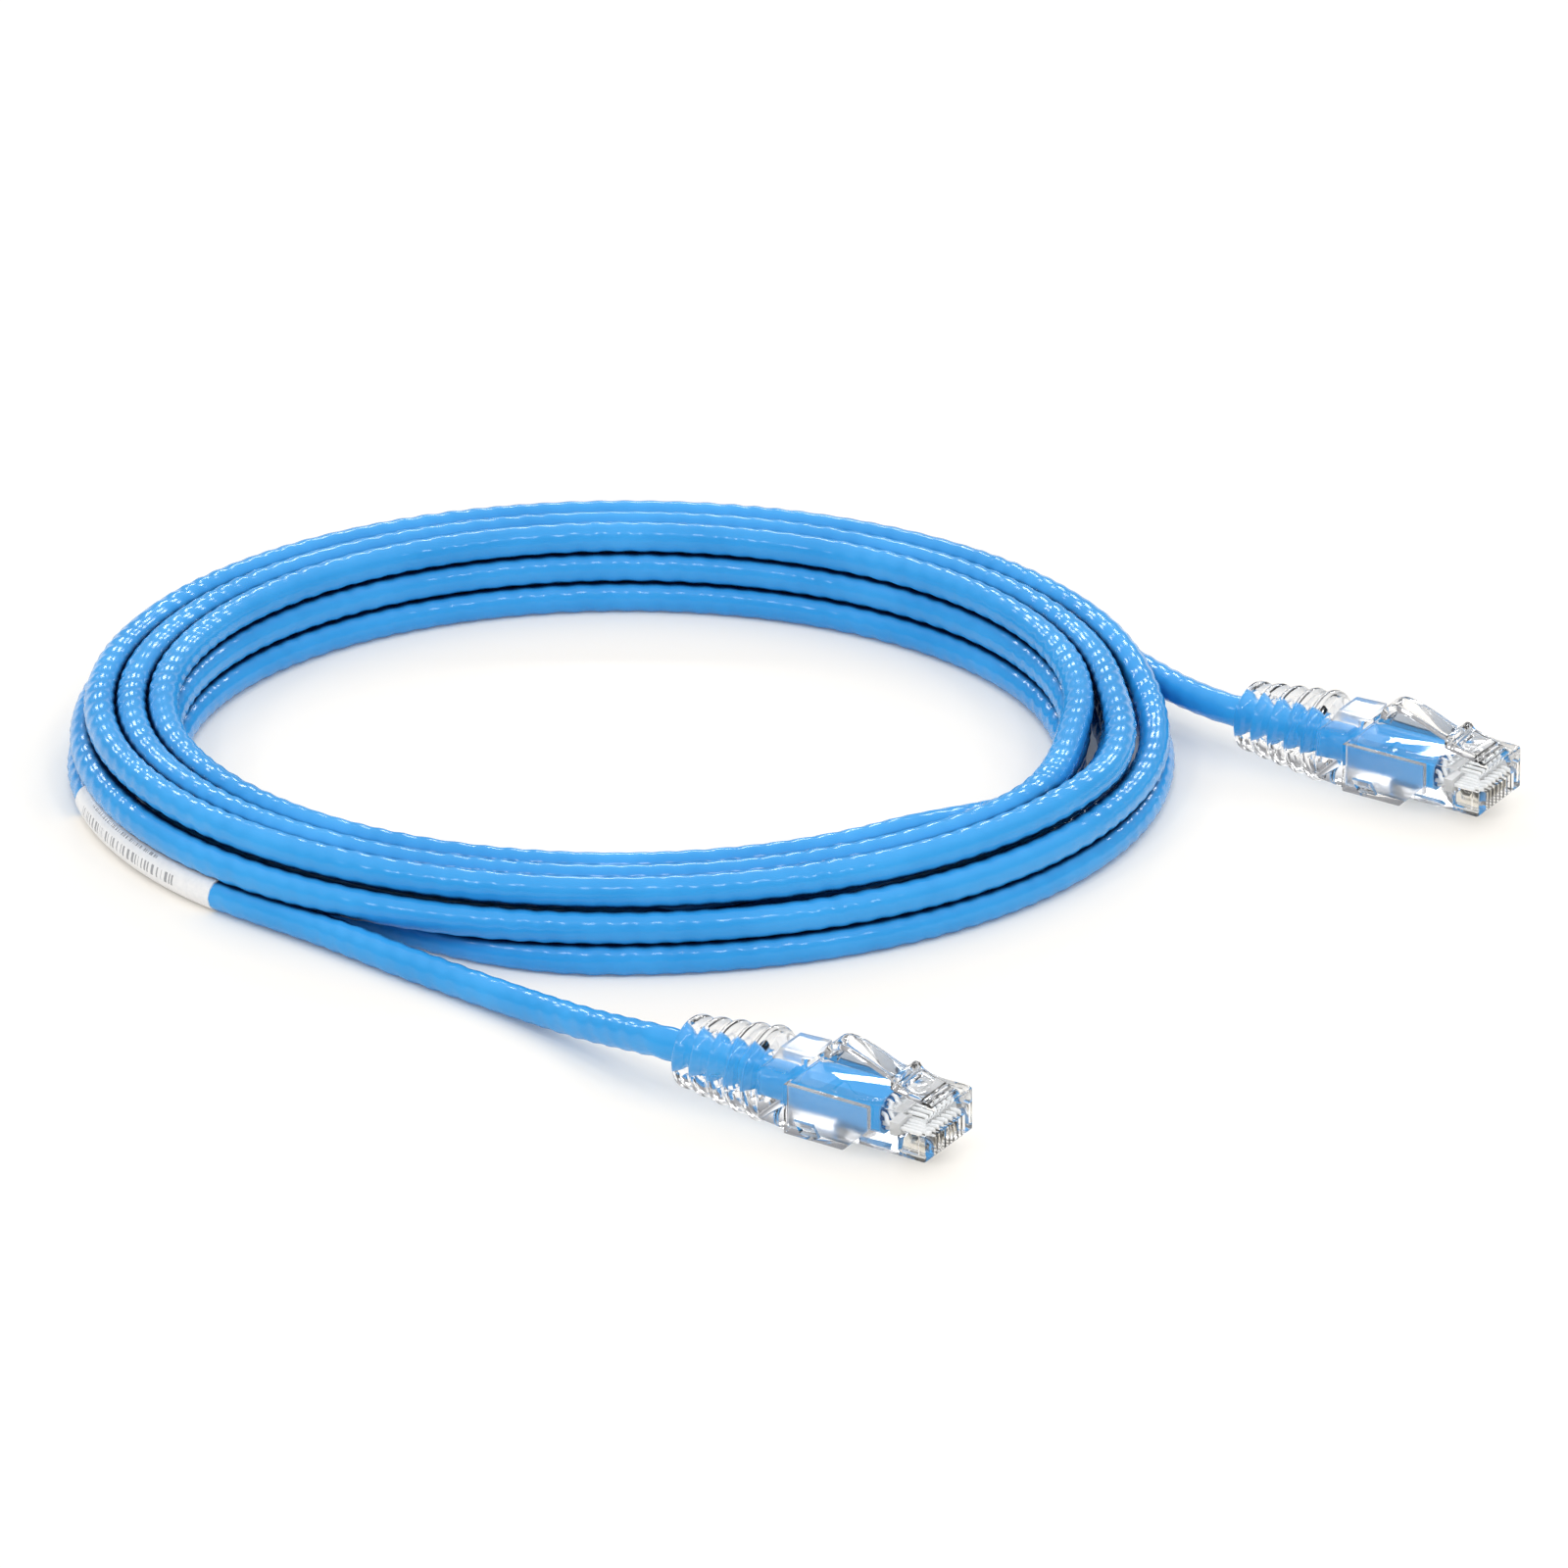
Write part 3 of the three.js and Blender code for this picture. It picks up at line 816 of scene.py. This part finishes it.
def dress_plug(letter):
    end = "_" + letter
    latch = "latch" + end
    plastic = (CLEAR, "clear_plastic")
    housing = place(make_housing(), "plug_body" + end, letter, *plastic, "cord", "housing" + end)
    place(make_latch(), "latch_tab" + end, letter, *plastic, latch, latch)
    boot = place(make_boot(), "ribbed_boot" + end, letter, BOOT, "clear_boot", "cord", "boot" + end)
    matt_faces(boot, letter)
    hinge = place(make_hinge(), "hinge_web" + end, letter, *plastic, None)
    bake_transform(hinge)
    for i in range(1, WAYS + 1):
        dress_node("contact_%s%d" % (letter, i), PLATING, CONTACT_EDGE)
        dress_node("wire_%s%d" % (letter, i), INSULATION, None)
    dress_node("load_bar" + end, BAR, BAR_EDGE)
    dress_node("crimp_bar" + end, CLEAR, BAR_EDGE)
    return housing, boot


def dress_node(name, mat, edge):
    """A CAD node that stays: its own material, and softened edges or a smooth skin by modifiers."""
    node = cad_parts[name]
    node.data.materials.clear()
    node.data.materials.append(mat)
    weld = node.modifiers.new("weld", "WELD")
    weld.merge_threshold = 0.01 * MM
    if edge:
        bevel = node.modifiers.new("edge", "BEVEL")
        bevel.width = edge * MM
        bevel.segments = 2
        bevel.limit_method = "ANGLE"
        bevel.angle_limit = math.radians(35)
    else:
        skin = node.modifiers.new("skin", "SUBSURF")
        skin.levels = 2
        skin.render_levels = 2


pieces = {letter: dress_plug(letter) for letter in "ab"}


# ---- Studio ----
FLOOR_HALF = 6
FLOOR_COLOUR = (0.855, 0.82, 0.765, 1)


def make_floor():
    bm = bmesh.new()
    bmesh.ops.create_grid(bm, x_segments=1, y_segments=1, size=FLOOR_HALF)
    floor = from_bmesh("floor", bm)
    mat, tree, shader = material("floor", Roughness=0.9, Specular_IOR_Level=0.1, Emission_Strength=0.11)
    shader.inputs["Base Color"].default_value = FLOOR_COLOUR
    shader.inputs["Emission Color"].default_value = (1, 1, 1, 1)
    floor.data.materials.append(mat)


def add_light(name, at, size, size_y, power):
    """A flat lamp aimed at the coil's centre; at is counted from there in metres."""
    data = bpy.data.lights.new(name, "AREA")
    data.shape = "RECTANGLE"
    data.size = size
    data.size_y = size_y
    data.energy = power
    lamp = bpy.data.objects.new(name, data)
    lamp.location = COIL + Vector(at)
    aim = COIL - lamp.location
    lamp.rotation_euler = aim.to_track_quat("-Z", "Y").to_euler()
    bpy.context.scene.collection.objects.link(lamp)


# The room's brightness by height: a pale floor line, a darker wall low down and a bright ceiling.
ROOM = [
    (0.0, (0.9, 0.9, 0.9, 1)),
    (0.2, (0.2, 0.2, 0.21, 1)),
    (0.5, (0.36, 0.36, 0.37, 1)),
    (0.85, (1, 1, 1, 1)),
]


def make_world():
    world = bpy.data.worlds.new("studio")
    bpy.context.scene.world = world
    world.use_nodes = True
    tree = world.node_tree
    back = tree.nodes["Background"]
    split = tree.nodes.new("ShaderNodeSeparateXYZ")
    tree.links.new(tree.nodes.new("ShaderNodeTexCoord").outputs["Generated"], split.inputs[0])
    tree.links.new(ramp(tree, split.outputs["Z"], ROOM), back.inputs["Color"])
    back.inputs["Strength"].default_value = 1.2


make_floor()
make_world()
# Two rows of small panels, so that the jacket's ridges break each highlight into dashes.
for place_x in (-1.2, -0.6, 0, 0.6, 1.2):
    add_light("front_panel", (place_x, -1, 1.25), 0.12, 0.28, 2)
    add_light("back_panel", (place_x, 1.7, 1.02), 0.3, 0.14, 2.3)
bpy.context.scene.view_settings.view_transform = "Standard"
